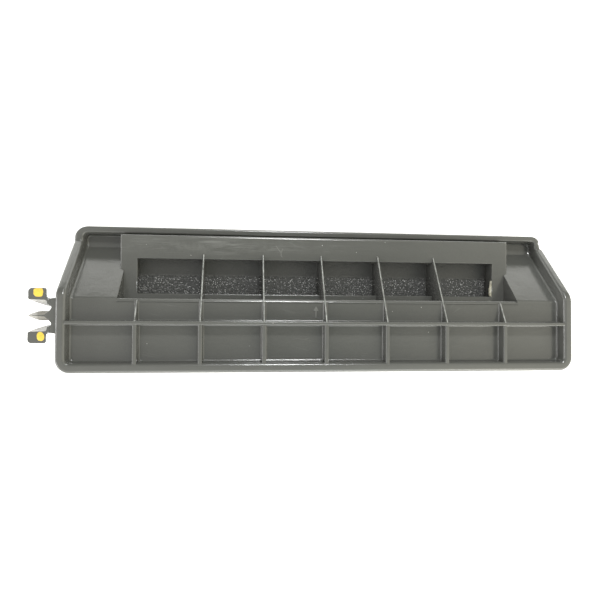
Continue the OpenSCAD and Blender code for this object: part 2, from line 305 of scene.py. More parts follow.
# ---------------------------------------------------------------- mesh helpers
def make(name, pts, faces, body="housing", slot="frame_plastic", mat=GREY, sharp=32.0):
    """A smooth-shaded piece from points in shell coordinates; edges over sharp degrees stay sharp."""
    me = bpy.data.meshes.new(name)
    me.from_pydata(row(pts).tolist(), [], [tuple(int(i) for i in f) for f in faces])
    bm = bmesh.new()
    bm.from_mesh(me)
    bmesh.ops.remove_doubles(bm, verts=bm.verts, dist=1e-7)
    bmesh.ops.recalc_face_normals(bm, faces=bm.faces)
    bm.to_mesh(me)
    bm.free()
    me.polygons.foreach_set("use_smooth", [True] * len(me.polygons))
    me.set_sharp_from_angle(angle=math.radians(sharp))
    me.materials.append(mat)
    ob = bpy.data.objects.new(name, me)
    SCN.collection.objects.link(ob)
    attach(ob, body)
    wn = ob.modifiers.new("normals", "WEIGHTED_NORMAL")
    wn.keep_sharp = True
    wn.weight = 80
    return ob


def bevel(ob, width, limit=40.0, segments=3):
    """Rounds edges over limit degrees, or the weighted ones when limit is None; works before the normals."""
    b = ob.modifiers.new("edges", "BEVEL")
    b.width = width * 0.001
    b.segments = segments
    if limit is None:
        b.limit_method = "WEIGHT"
    else:
        b.limit_method = "ANGLE"
        b.angle_limit = math.radians(limit)
    ob.modifiers.move(len(ob.modifiers) - 1, 0)


def repaint(ob, mat, test):
    """Gives the faces that pass the test a second material."""
    ob.data.materials.append(mat)
    for f in ob.data.polygons:
        if test(f):
            f.material_index = 1


def stack(rings):
    """Joins rings of the same length into a skin; the ends are closed with one face each."""
    n = len(rings[0])
    pts = np.concatenate([np.asarray(r, float) for r in rings])
    faces = []
    for k in range(len(rings) - 1):
        a, b = k * n, (k + 1) * n
        faces += [(a + i, a + (i + 1) % n, b + (i + 1) % n, b + i) for i in range(n)]
    faces.append(tuple(range(n))[::-1])
    faces.append(tuple(range((len(rings) - 1) * n, len(rings) * n)))
    return pts, faces


def merge(*parts):
    """Several (points, faces) as one."""
    pts, faces, k = [], [], 0
    for p, f in parts:
        pts.append(np.asarray(p, float))
        faces += [tuple(i + k for i in q) for q in f]
        k += len(p)
    return np.concatenate(pts), faces


def lift(poly, axis, at):
    """A 2D outline put at one place along an axis: x -> (y, z), y -> (x, z), z -> (x, y)."""
    p = np.asarray(poly, float)
    c = np.full(len(p), at)
    if axis == "x":
        return np.stack([c, p[:, 0], p[:, 1]], 1)
    if axis == "y":
        return np.stack([p[:, 0], c, p[:, 1]], 1)
    return np.stack([p[:, 0], p[:, 1], c], 1)


def inset(poly, d):
    """Moves an outline inwards by d, whichever way round it runs."""
    p = np.asarray(poly, float)
    x, y = p[:, 0], p[:, 1]
    if np.sum(x * np.roll(y, -1) - np.roll(x, -1) * y) < 0:
        d = -d
    e1 = p - np.roll(p, 1, 0)
    e2 = np.roll(p, -1, 0) - p
    e1 /= np.linalg.norm(e1, axis=1)[:, None] + 1e-12
    e2 /= np.linalg.norm(e2, axis=1)[:, None] + 1e-12
    n1 = np.stack([-e1[:, 1], e1[:, 0]], 1)
    n2 = np.stack([-e2[:, 1], e2[:, 0]], 1)
    m = n1 + n2
    m /= np.maximum(np.sum(m * n1, 1), 0.3)[:, None]
    return p + m * d


def rounded(poly, radii, seg=5):
    """Rounds the corners of an outline; radii is one number or one for each corner."""
    p = [np.array(q, float) for q in poly]
    n = len(p)
    if not hasattr(radii, "__len__"):
        radii = [radii] * n
    out = []
    for i in range(n):
        a, b, c = p[i - 1], p[i], p[(i + 1) % n]
        u, v = (a - b), (c - b)
        lu, lv = np.linalg.norm(u), np.linalg.norm(v)
        u, v = u / lu, v / lv
        cosang = float(np.clip(u @ v, -1, 1))
        half = math.acos(cosang) / 2
        r = radii[i]
        if r <= 0 or half > math.pi / 2 - 0.02:
            out.append(b)
            continue
        t = min(r / math.tan(half), 0.48 * lu, 0.48 * lv)
        r = t * math.tan(half)
        ctr = b + (u + v) / np.linalg.norm(u + v) * (r / math.sin(half))
        s0, s1 = b + u * t - ctr, b + v * t - ctr
        a0, a1 = math.atan2(s0[1], s0[0]), math.atan2(s1[1], s1[0])
        da = (a1 - a0 + math.pi) % (2 * math.pi) - math.pi
        for k in range(seg + 1):
            th = a0 + da * k / seg
            out.append(ctr + r * np.array([math.cos(th), math.sin(th)]))
    return np.array(out)


def slab(poly, axis, lo, hi, r_lo, r_hi=None, seg=4):
    """An outline given thickness, with rounded edges at both faces."""
    r_hi = r_lo if r_hi is None else r_hi
    rings = []
    for k in range(seg + 1):
        th = math.pi / 2 * k / seg
        rings.append(lift(inset(poly, r_lo * (1 - math.sin(th))), axis, lo + r_lo * (1 - math.cos(th))))
    for k in range(seg + 1):
        th = math.pi / 2 * k / seg
        rings.append(lift(inset(poly, r_hi * (1 - math.cos(th))), axis, hi - r_hi * (1 - math.sin(th))))
    return stack(rings)


def flat(u, v, w):
    """The plain placing for grid_solid: u, v and w are x, y and z."""
    return np.stack([u, v, w], -1)


def grid_solid(us, vs, keep, place, w0, w1):
    """A slab over the kept cells of a grid; place(u, v, w) gives the points."""
    nu, nv = len(us), len(vs)
    U, V = np.meshgrid(us, vs, indexing="ij")
    U, V = U.ravel(), V.ravel()
    pts = np.concatenate([place(U, V, np.full(len(U), w0)), place(U, V, np.full(len(U), w1))])
    N = nu * nv
    idx = lambda i, j: i * nv + j
    on = lambda i, j: 0 <= i < nu - 1 and 0 <= j < nv - 1 and keep[i, j]
    faces = []
    for i in range(nu - 1):
        for j in range(nv - 1):
            if not keep[i, j]:
                continue
            q = [idx(i, j), idx(i + 1, j), idx(i + 1, j + 1), idx(i, j + 1)]
            faces.append(tuple(a + N for a in q))
            faces.append(tuple(q[::-1]))
            for a, b, ii, jj in ((q[0], q[1], i, j - 1), (q[1], q[2], i + 1, j),
                                 (q[2], q[3], i, j + 1), (q[3], q[0], i - 1, j)):
                if not on(ii, jj):
                    faces.append((a, b, b + N, a + N))
    used = sorted(set(k for f in faces for k in f))
    new = {k: n for n, k in enumerate(used)}
    return pts[used], [tuple(new[k] for k in f) for f in faces]


def shell_map(r1, r2):
    """The face of the shell unrolled: s runs along the floor, the fold, the slope and the ledge.

    Gives the placing of (x, s, height), the ends of both folds, and the shell's top edge in s.
    """
    q = math.pi / 4
    a1 = FOLD - r1 * T22
    b1 = a1 + r1 * q
    a2 = b1 + RISE * math.sqrt(2) - (r1 + r2) * T22
    b2 = a2 + r2 * q
    c, sn = math.cos(q), math.sin(q)
    y1, z1 = a1 + r1 * sn, FLOOR - r1 * (1 - c)
    y2, z2 = y1 + (a2 - b1) * c, z1 - (a2 - b1) * sn
    cy, cz = y2 + r2 * sn, z2 + r2 * c

    def place(x, s, w):
        x, s, w = (np.asarray(t, float) for t in (x, s, w))
        th = np.clip((s - a1) / r1, 0, q)
        y = np.where(s < a1, s, a1 + r1 * np.sin(th))
        z = np.where(s < a1, FLOOR, FLOOR - r1 * (1 - np.cos(th)))
        m = s > b1
        y = np.where(m, y1 + (s - b1) * c, y)
        z = np.where(m, z1 - (s - b1) * sn, z)
        m = s > a2
        t2 = q - np.clip((s - a2) / r2, 0, q)
        y = np.where(m, cy - r2 * np.sin(t2), y)
        z = np.where(m, cz - r2 * np.cos(t2), z)
        th = np.where(m, t2, th)
        m = s > b2
        y = np.where(m, cy + (s - b2), y)
        z = np.where(m, cz - r2, z)
        return np.stack([x, y + w * np.sin(th), z + w * np.cos(th)], -1)

    return place, (a1, b1, a2, b2), b2 + HY - cy


def steps(marks, fine, coarse):
    """Values through the marks: fine within each arc (pairs of marks), coarse elsewhere."""
    out = [marks[0]]
    for k in range(len(marks) - 1):
        a, b = marks[k], marks[k + 1]
        n = max(1, int(math.ceil((b - a) / (fine if k % 2 else coarse))))
        out += [a + (b - a) * i / n for i in range(1, n + 1)]
    return out


# ---------------------------------------------------------------- rim
def build_rim():
    """One skin swept round the shell: the bead, its inner and outer walls, folded like the face."""
    place, (a1, b1, a2, b2), top = shell_map(1.6, 7.8)
    prof = [(2.95, -2.0), (2.8, 3.1), (1.6, 3.1)]
    cy = TRAY - 1.6
    prof += [(1.6 - 1.6 * math.sin(t), cy - 1.6 * math.cos(t)) for t in np.linspace(0.25, math.pi, 12)]
    prof += [(3.2 + 1.6 * math.sin(t), cy + 1.6 * math.cos(t)) for t in np.linspace(0, math.pi / 2 + 0.1, 9)]
    prof += [(4.95, 3.2), (5.02, 2.0), (5.05, 0.9)]
    prof += [(5.95 - 0.9 * math.cos(t), 0.9 - 0.9 * math.sin(t)) for t in np.linspace(0.25, math.pi / 2, 6)]
    prof += [(6.6, -0.5), (6.6, -2.0)]
    # corner radii at the bottom and top; the bead is narrower along the top
    rb, rt, k_top = 7.0, 5.6, 3.4 / 4.8
    side = steps([rb, a1, b1, a2, b2], 0.35, 4.0) + list(np.linspace(b2, top - rt, 16)[1:])
    runs = np.linspace(-(HX - rb), HX - rb, 60)
    runs_t = np.linspace(HX - rt - 1.0, -(HX - rt - 1.0), 60)
    arc = np.linspace(0, math.pi / 2, 11)[1:-1]
    cols = []
    for u, w in prof:
        r = max(rb - u, 0.3)
        a, b = max(rt + 1.4 - u, 1.2), max(rt - k_top * u, 0.9)
        ct = top - k_top * u - b
        xr, xt = HX - u - r, HX - u - a
        loop = [(x, u) for x in runs]
        loop += [(xr + r * math.sin(t), u + r - r * math.cos(t)) for t in arc]
        loop += [(HX - u, v) for v in side]
        loop += [(xt + a * math.cos(t), ct + b * math.sin(t)) for t in arc]
        loop += [(min(x, xt) if x > 0 else max(x, -xt), top - k_top * u) for x in runs_t]
        loop += [(-(xt + a * math.sin(t)), ct + b * math.cos(t)) for t in arc]
        loop += [(-(HX - u), v) for v in side[::-1]]
        loop += [(-(xr + r * math.cos(t)), u + r - r * math.sin(t)) for t in arc]
        X, S = np.array(loop).T
        cols.append(place(X, S, np.full(len(X), w)))
    m, n = len(cols), len(cols[0])
    pts = np.concatenate(cols)
    # the top edge bows up a little, and the right upper corner ends short with a nick below it
    lift_top = 0.45 - 0.25 * pts[:, 0] / HX
    short = np.interp(pts[:, 1], [66.0, 66.6, 67.0, 69.6, 70.3, 71.0, 72.5],
                      [0, 0.3, 1.2, 1.7, 2.0, 0.9, 0.5])
    pts[:, 0] -= short * np.clip((pts[:, 0] - (HX - 5.5)) / 3.5, 0, 1)
    pts[:, 1] += lift_top * np.clip((pts[:, 1] - (HY - 4.6)) / 4.6, 0, 1)
    faces = []
    for i in range(m):
        a, b = i * n, (i + 1) % m * n
        faces += [(a + j, a + (j + 1) % n, b + (j + 1) % n, b + j) for j in range(n)]
    ob = make("rim_bead", pts, faces, sharp=50.0)
    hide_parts("rim_bottom", "rim_left", "rim_right", "rim_top")


# ---------------------------------------------------------------- floor, slope and ledge
def build_skin():
    """Floor, slope and ledge as one folded sheet with the box's opening left out."""
    place, (a1, b1, a2, b2), top = shell_map(1.8, 0.6)
    s_box0 = FOLD - 1.8
    s_btop = b2 + (BTOP - 0.9) - (FOLD + RISE + 0.6 * T22)
    edge = INNER + 0.9
    xs = sorted([-edge, -BOXI, BOXI, edge] + list(np.linspace(-edge + 6, -BOXI - 4, 4))
                + list(np.linspace(BOXI + 4, edge - 6, 4)) + list(np.linspace(-BOXI + 8, BOXI - 8, 24)))
    ss = sorted(set([3.6] + list(np.linspace(8, s_box0 - 4, 6)) + [s_box0]
                    + steps([a1, b1, a2, b2, s_btop, top - 2.6], 0.25, 5.0)
                    + list(np.linspace(a1, b1, 8)) + list(np.linspace(a2, b2, 8))))
    ss = [s for k, s in enumerate(ss) if k == 0 or s - ss[k - 1] > 1e-4]
    keep = np.ones((len(xs) - 1, len(ss) - 1), bool)
    for i in range(len(xs) - 1):
        xm = (xs[i] + xs[i + 1]) / 2
        for j in range(len(ss) - 1):
            sm = (ss[j] + ss[j + 1]) / 2
            if abs(xm) < BOXI and s_box0 < sm < s_btop:
                keep[i, j] = False
    pts, faces = grid_solid(xs, ss, keep, place, -2.0, 0.0)
    ob = make("tray_face", pts, faces, sharp=50.0)
    bevel(ob, 0.4, 60.0)
    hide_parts("tray_floor", "slope_panel_left", "slope_panel_right",
                "upper_ledge_left", "upper_ledge_right", "ledge_strip")


# ---------------------------------------------------------------- box round the window
def build_box():
    """The window plate, its return wall, the walls behind it and the sill."""
    xs = [-BOX, -BOXI, -WIN_X, WIN_X, BOXI, BOX]
    ys = [FOLD - 0.2, WIN_Y0, MEET + 0.1, WIN_Y1, BTOP]
    keep = np.ones((5, 4), bool)
    keep[0, 0] = keep[0, 1] = keep[4, 0] = keep[4, 1] = False
    keep[2, 1] = keep[2, 2] = False
    # return wall behind the plate at the window's right end, down to just above the foam
    low, hi, xe = FOAM_TOP + 1.0, PLATE - 1.8, WIN_X + 0.05
    turn = [(xe, hi), (xe, low + 0.4), (xe + 0.3, low), (xe + 0.9, low), (xe + 1.2, hi - 1.4),
            (xe + 1.9, hi)]
    wall = slab(rounded(turn, 0.2, 3), "y", WIN_Y0 + 0.02, WIN_Y1 - 0.02, 0.1)
    make("window_end_return", *wall, sharp=50.0)
    ob = make("window_frame_plate", *grid_solid(xs, ys, keep, flat, PLATE - PLATE_T, PLATE),
              mat=PLATE_GREY)
    # rounding of the plate's front edges: full at the top, less at the ends, least round the window
    weights = ob.data.attributes.new("bevel_weight_edge", "FLOAT", "EDGE")
    near = lambda v, w: abs(v - w) < 0.01
    for e in ob.data.edges:
        ends = [shell(ob.data.vertices[k].co) for k in e.vertices]
        x, y, _ = (np.array(ends[0]) + ends[1]) / 2
        if min(ends[0][2], ends[1][2]) < PLATE - 1:
            continue
        x = abs(x)
        in_window = x < WIN_X + 0.01 and WIN_Y0 - 0.01 < y < WIN_Y1 + 0.01
        if near(y, BTOP):
            weights.data[e.index].value = 1.0
        elif near(x, BOX):
            weights.data[e.index].value = 0.7
        elif in_window and (near(x, WIN_X) or near(y, WIN_Y0) or near(y, WIN_Y1)):
            weights.data[e.index].value = 0.35
    bevel(ob, 1.0, None, 4)
    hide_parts("window_plate")
    side = [(FOLD - 1.9, 0.0), (BTOP - 0.03, 0.0), (BTOP - 0.03, PLATE - 1.0), (MEET + 0.4, PLATE - 1.0),
            (FOLD + 0.2, FLOOR - 1.0), (FOLD - 1.9, FLOOR - 1.0)]
    for sgn, name in ((-1, "left"), (1, "right")):
        x0, x1 = sorted((sgn * (BOXI + 0.02), sgn * (BOX - 0.02)))
        ob = make("box_wall_" + name, *slab(side, "x", x0, x1, 0.15, seg=2))
        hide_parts("box_side_" + name)
    lo, hi = BTOP - PLATE_T, BTOP - 0.02
    top = rounded([(lo, 0.0), (hi, 0.0), (hi, PLATE - 1.0), (lo, PLATE - 1.0)], [0.3, 0.3, 0, 0])
    ob = make("box_wall_top", *stack([lift(top, "x", -BOXI - 0.5), lift(top, "x", BOXI + 0.5)]))
    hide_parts("box_top_wall")
    r = 1.8
    turn = np.linspace(0, math.pi / 2, 12)
    nose = [(FOLD - r + r * math.sin(t), FLOOR - r + r * math.cos(t)) for t in turn]
    sill = [(FOLD - 2.0, 0.0), (FOLD - 0.3, 0.0), (FOLD, 0.3)] + nose[::-1] + [(FOLD - 2.0, FLOOR)]
    xs = np.linspace(-BOXI - 0.5, BOXI + 0.5, 40)
    ob = make("sill", *stack([lift(sill, "x", x) for x in xs]), sharp=50.0)
    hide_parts("sill_shelf")


# ---------------------------------------------------------------- ribs
def rib_profile(mid, t, h, r_top=0.5, r_base=0.7):
    """Section of a rib standing on the floor: a fillet at each foot and rounded top edges."""
    quarter = [math.pi / 2 * k / 5 for k in range(6)]
    half = [(t / 2 + r_base - r_base * math.sin(a), FLOOR + r_base - r_base * math.cos(a)) for a in quarter]
    half += [(t / 2 - r_top + r_top * math.cos(a), FLOOR + h - r_top + r_top * math.sin(a)) for a in quarter]
    right = [(t / 2 + r_base, FLOOR - 0.3)] + half
    return [(mid + x, z) for x, z in right] + [(mid - x, z) for x, z in right[::-1]]


def base_fillet(x, y0, y1, t, r=0.6):
    """Fillet strips on both sides of a leaning rib, where it stands on the floor."""
    parts = []
    for sgn in (-1, 1):
        sec = [(-0.3, -0.3), (r, -0.3)]
        sec += [(r - r * math.sin(a), r - r * math.cos(a)) for a in np.linspace(0, math.pi / 2, 6)]
        sec += [(-0.3, r)]
        sec = [(x + sgn * (t / 2 + a), FLOOR + b) for a, b in sec]
        parts.append(stack([lift(sec, "y", y0), lift(sec, "y", y1)]))
    return parts


def build_ribs():
    """The cross rib, and seven ribs that stand upright below it and lean down to the plate above it."""
    ends = np.linspace(-INNER - 0.6, INNER + 0.6, 60)
    sec = rib_profile((CROSS0 + CROSS1) / 2, CROSS1 - CROSS0, TRAY - 0.05)
    ob = make("cross_rib_web", *stack([lift(sec, "x", x) for x in ends]), sharp=60.0)
    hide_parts("cross_rib")
    slope = (DEPTH - PLATE) / (span("rib_4")[1].y - CROSS1)  # fall of the leaning ribs' crests
    up = Vector((0, math.sin(math.atan(slope)), math.cos(math.atan(slope))))

    def on_crest(f):
        _, y, z = shell(f.center)
        return f.normal.dot(up) > 0.75 and y > CROSS1 - 0.2 and z > DEPTH - (y - CROSS1) * slope - 0.8

    for i in range(1, 8):
        node = f"rib_{i}"
        a, b = span(node)
        x = (a.x + b.x) / 2
        foot = rib_profile(x, RIB_T, TRAY - 0.25)
        parts = [stack([lift(foot, "y", y) for y in np.linspace(4.0, CROSS1 - 0.5, 8)])]
        out = [(CROSS1 - 1.2, FLOOR - 0.5), (CROSS1 - 1.2, DEPTH - 0.1), (CROSS1 - 0.1, DEPTH - 0.1)]
        in_window = b.y > 50
        if in_window:
            low, high = 13.3, PLATE - 0.5  # in the window the rib reaches down towards the foam
            out += [(b.y, PLATE + 0.15), (b.y - 0.4, high), (WIN_Y1 - 0.02, high),
                    (WIN_Y1 - 0.02, low), (WIN_Y0 + 0.02, low), (WIN_Y0 + 0.02, high),
                    (FOLD - 0.5, high), (FOLD - 0.5, FLOOR - 1.2), (FOLD - 1.4, FLOOR - 0.5)]
            rad = [0, 0, 1.2, 0.6, 0, 0, 0.5, 0.5, 0, 0, 0, 0]
            foot_end = FOLD - 1.2
        else:
            out += [(b.y - 0.4, FLOOR + 0.5), (b.y, FLOOR - 0.4)]
            rad = [0, 0, 1.2, 0.8, 0]
            foot_end = b.y - 0.5
        lean, faces = slab(rounded(out, rad), "x", x - LEAN_T / 2, x + LEAN_T / 2, 0.4)
        under = DEPTH - (lean[:, 1] - CROSS1) * slope - lean[:, 2]
        # thinner towards the crest
        draft = 0.68 + 0.32 * np.clip(under / 7.0, 0, 1)
        lean[:, 0] = x + (lean[:, 0] - x) * draft
        parts.append((lean, faces))
        parts += base_fillet(x, CROSS1 - 0.3, foot_end, LEAN_T)
        ob = make(f"rib_{i}_web", *merge(*parts), sharp=60.0)
        # the crests get the painted highlight material
        repaint(ob, CREST_HIGHLIGHT, on_crest)
        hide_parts(node)


def build_gate_mark():
    """Faint moulding scar on the plate above the window."""
    parts = []
    for line, w in (([(-24.3, 65.0), (-22.6, 62.6), (-21.6, 61.4), (-21.3, 59.2)], 0.22),
                    ([(-20.6, 63.4), (-21.6, 61.4)], 0.16),
                    ([(-21.9, 60.2), (-20.6, 58.9)], 0.14)):
        pts = np.array(line)
        for a, b in zip(pts[:-1], pts[1:]):
            d = (b - a) / np.linalg.norm(b - a)
            n = np.array([-d[1], d[0]]) * w
            quad = [a - d * 0.1 + n, a - d * 0.1 - n, b + d * 0.1 - n, b + d * 0.1 + n]
            parts.append(slab(quad, "z", PLATE - 0.05, PLATE + 0.06, 0.02, 0.05, 2))
    make("gate_mark", *merge(*parts), mat=MARK, sharp=60.0)


def build_arrow():
    """The raised arrow on the floor, pointing up."""
    a, b = span("direction_arrow")
    x, y1, head = (a.x + b.x) / 2, b.y, b.y - 2.5
    o = [(x - 0.4, a.y), (x + 0.4, a.y), (x + 0.4, head), (x + 1.5, head), (x, y1), (x - 1.5, head),
         (x - 0.4, head)]
    ob = make("arrow_mark", *slab(rounded(o, 0.18, 3), "z", FLOOR - 0.1, b.z, 0.05, 0.14, 3), mat=MARK)
    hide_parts("direction_arrow")


# ---------------------------------------------------------------- end clip
ROOT_Y = 6.6  # a latch root's distance from the clip's middle line
ROOT_BACK = 1.7  # and how far it stands out from the web


def circle_part(x, y, r, t0, t1, n):
    """Points on a circle from one angle to another."""
    return [(x + r * math.cos(t), y + r * math.sin(t)) for t in np.linspace(t0, t1, n)]


def build_web():
    """The clip's web: curved seats round the latch roots, and a flare into the spear."""
    a, b = span("clip_base")
    web_x = a.x
    top = b.y - CLIPY
    half = [(-HX + 2.2, top + 0.2), (-HX - 0.3, top), (web_x + 1.2, 8.45), (web_x - 0.1, 8.3)]
    half += circle_part(web_x - ROOT_BACK, ROOT_Y, 1.57, 1.08, -1.08, 11)
    half += [(web_x - 0.35, 4.75), (web_x + 0.2, 4.2), (web_x + 0.2, 3.6), (web_x - 0.5, 2.6),
             (web_x - 1.6, 1.5), (web_x - 2.6, 0.8)]
    o = [(x, CLIPY + y) for x, y in half + [(x, -y) for x, y in half[::-1]]]
    rad = [0, 0.9, 0.8, 0.3] + [0] * 11 + [0.3, 0.5, 0.5, 1.0, 1.5, 0.6]
    web = slab(rounded(o, rad + rad[::-1], 4), "z", CLIPZ0, CLIPZ1 + 0.1, 0.15, 0.2)
    ob = make("clip_web", *web, sharp=50.0)
    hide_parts("clip_base")


def build_spear():
    """The spear between the latches: sharp ridge, sloped facets, flared root."""
    a, b = span("locating_spear")
    base = CLIPZ0 + 1.0
    # distance from the tip, half width, half width of the ridge, drop of the ridge
    sections = ((0.5, 0.1, 0.03, 1.2), (1.0, 0.5, 0.05, 1.0), (2.0, 1.05, 0.08, 0.6), (3.0, 1.55, 0.12, 0.3),
                (4.0, 1.95, 0.16, 0.15), (5.0, 2.2, 0.2, 0.05), (6.2, 2.3, 0.26, 0.0), (8.0, 2.3, 0.4, 0.0),
                (9.2, 2.3, 0.62, 0.0), (10.0, 2.35, 1.0, 0.0), (10.8, 2.5, 1.6, 0.0), (11.5, 2.9, 2.3, 0.0),
                (12.2, 3.3, 3.0, 0.0))
    rows = []
    for along, h, ridge, drop in sections:
        c = b.z - drop
        side_z = c - min(4.2, (h - ridge) * 1.9)
        sec = [(-h * 0.8, base), (-h, base + 0.5), (-h, side_z), (-ridge, c - 0.04), (0, c)]
        sec += [(ridge, c - 0.04), (h, side_z), (h, base + 0.5), (h * 0.8, base)]
        rows.append(lift([(CLIPY + y, z) for y, z in sec], "x", a.x + along))
    ob = make("spear", *stack(rows), sharp=25.0)
    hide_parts("locating_spear")
    root = span("clip_base")[0].x - 1.0

    def on_facet(f):
        x, _, z = shell(f.center)
        return CLIPZ0 + 2.0 < z < CLIPZ1 and x < root and 0.3 < abs(f.normal.y) < 0.97

    # the sloped facets get the painted reflection
    repaint(ob, FLANK_REFLECTION, on_facet)


def build_latch(part, sgn):
    """One latch arm: root boss, arm and tab; the flank beside the spear leans towards it at the rear."""
    body = "latch_" + part
    web_x = span("clip_base")[0].x
    a, b = span("latch_arm_upper")
    # x of the root, of the tab's left and right edges, and the tab's outer edge from the middle line
    root_x, x0, tab_r, outer = web_x - ROOT_BACK, a.x + 0.5, web_x - 1.95, b.y - CLIPY
    boss = circle_part(root_x, ROOT_Y, 1.5, -1.5, 1.15, 13)
    tip = [(x0 + 1.2, outer), (x0 + 0.2, outer - 0.9), (x0, outer - 1.6)]
    front = boss + [(tab_r + 0.15, 9.0), (tab_r, 10.2), (tab_r, outer - 0.7), (tab_r - 0.6, outer)]
    front += tip + [(x0 + 0.05, 8.1), (x0 + 0.5, 7.65), (tab_r - 0.4, 7.5), (root_x - 0.2, 6.3)]
    back = boss + [(tab_r - 3.4, 9.0), (tab_r - 3.5, 10.2), (tab_r - 3.5, outer - 0.7), (tab_r - 3.9, outer)]
    back += tip + [(x0 + 0.05, 7.7), (x0 + 0.3, 6.9), (tab_r - 1.6, 4.7), (root_x - 0.5, 4.6)]
    rad = [0] * 13 + [0.5, 0.7, 0.6, 0.5, 0.7, 0.6, 0.5, 0.4, 0.5, 1.2, 0.6]
    front, back = (rounded([(x, CLIPY + sgn * y) for x, y in o], rad) for o in (front, back))
    rings = []
    for t in (math.pi / 2 * k / 3 for k in range(4)):
        rings.append(lift(inset(back, 0.4 * (1 - math.sin(t))), "z", CLIPZ0 + 0.4 * (1 - math.cos(t))))
    rings.append(lift(back, "z", CLIPZ0 + 3.0))
    for t in (math.pi / 2 * k / 4 for k in range(5)):
        rings.append(lift(inset(front, 0.35 * (1 - math.cos(t))), "z", CLIPZ1 - 0.35 * (1 - math.sin(t))))
    ob = make(body + "_arm", *stack(rings), body=body, sharp=45.0)
    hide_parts("latch_arm_" + part)

    def on_slope(f):
        _, y, z = shell(f.center)
        return CLIPZ0 + 3.0 < z < CLIPZ1 - 0.4 and abs(y - CLIPY) < 7.9 and -sgn * f.normal.y > 0.75

    # the flank facing the spear gets the painted reflection
    repaint(ob, FLANK_REFLECTION, on_slope)
    build_dab(part, body, sgn, outer)


def build_dab(part, body, sgn, outer):
    """A dab of paint on a latch tab: a wavering, domed super-ellipse."""
    m0, m1 = span("latch_mark_" + part)
    cx = (m0.x + m1.x) / 2
    # centre, half sizes and squareness of the blob
    if part == "upper":
        cx, cy, rx, ry, power = cx + 0.7, CLIPY + outer - 2.15, 2.4, 2.1, 3.4
    else:
        cx, cy, rx, ry, power = cx + 1.2, CLIPY - 9.9, 1.8, 2.3, 2.3
    rn, n = np.random.default_rng(11 + sgn), 56
    turn = np.linspace(0, 2 * math.pi, n, endpoint=False)
    wob = sum(rn.uniform(-1, 1) * np.cos(k * turn + rn.uniform(0, 6.3)) / k for k in range(2, 12))
    wob = wob / np.abs(wob).max()
    rings = []
    for scale, height in ((1.0, -0.1), (1.0, 0.02), (0.96, 0.1), (0.88, 0.14), (0.6, 0.17), (0.3, 0.19),
                          (0.06, 0.195)):
        ring = []
        for k in range(n):
            t = 2 * math.pi * k / n
            c, s = math.cos(t), math.sin(t)
            r = (abs(c) ** power + abs(s) ** power) ** (-1 / power) * scale * (0.93 + 0.07 * wob[k])
            z = CLIPZ1 + height + 0.02 * math.sin(3 * t + 5 * scale)
            ring.append((cx + rx * r * c, cy + ry * r * s, min(z, m1.z)))
        rings.append(ring)
    ob = make("paint_dab_" + part, *stack(rings), body=body, slot="yellow_paint", mat=YELLOW, sharp=80.0)
    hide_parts("latch_mark_" + part)


# ---------------------------------------------------------------- foam
def cell_field(X, Y, pitch, seed):
    """Open-cell foam seen face on: how far the second cell is past the nearest, and the nearest's value."""
    rn = np.random.default_rng(seed)
    x0, y0 = X.min() - 3 * pitch, Y.min() - 3 * pitch
    nx, ny = int((X.max() - x0) / pitch) + 5, int((Y.max() - y0) / pitch) + 5
    jx, jy, jr = rn.uniform(0, 1, (nx, ny)), rn.uniform(0, 1, (nx, ny)), rn.uniform(0, 1, (nx, ny))
    i, j = ((X - x0) / pitch).astype(int), ((Y - y0) / pitch).astype(int)
    d = np.full((2,) + X.shape, 1e9)
    who = np.zeros(X.shape)
    for di in (-1, 0, 1):
        for dj in (-1, 0, 1):
            a, b = np.clip(i + di, 0, nx - 1), np.clip(j + dj, 0, ny - 1)
            px, py = x0 + (a + jx[a, b]) * pitch, y0 + (b + jy[a, b]) * pitch
            r = np.hypot(X - px, Y - py) / pitch
            who = np.where(r < d[0], jr[a, b], who)
            d = np.sort(np.stack([d[0], d[1], r]), 0)[:2]
    return d[1] - d[0], who


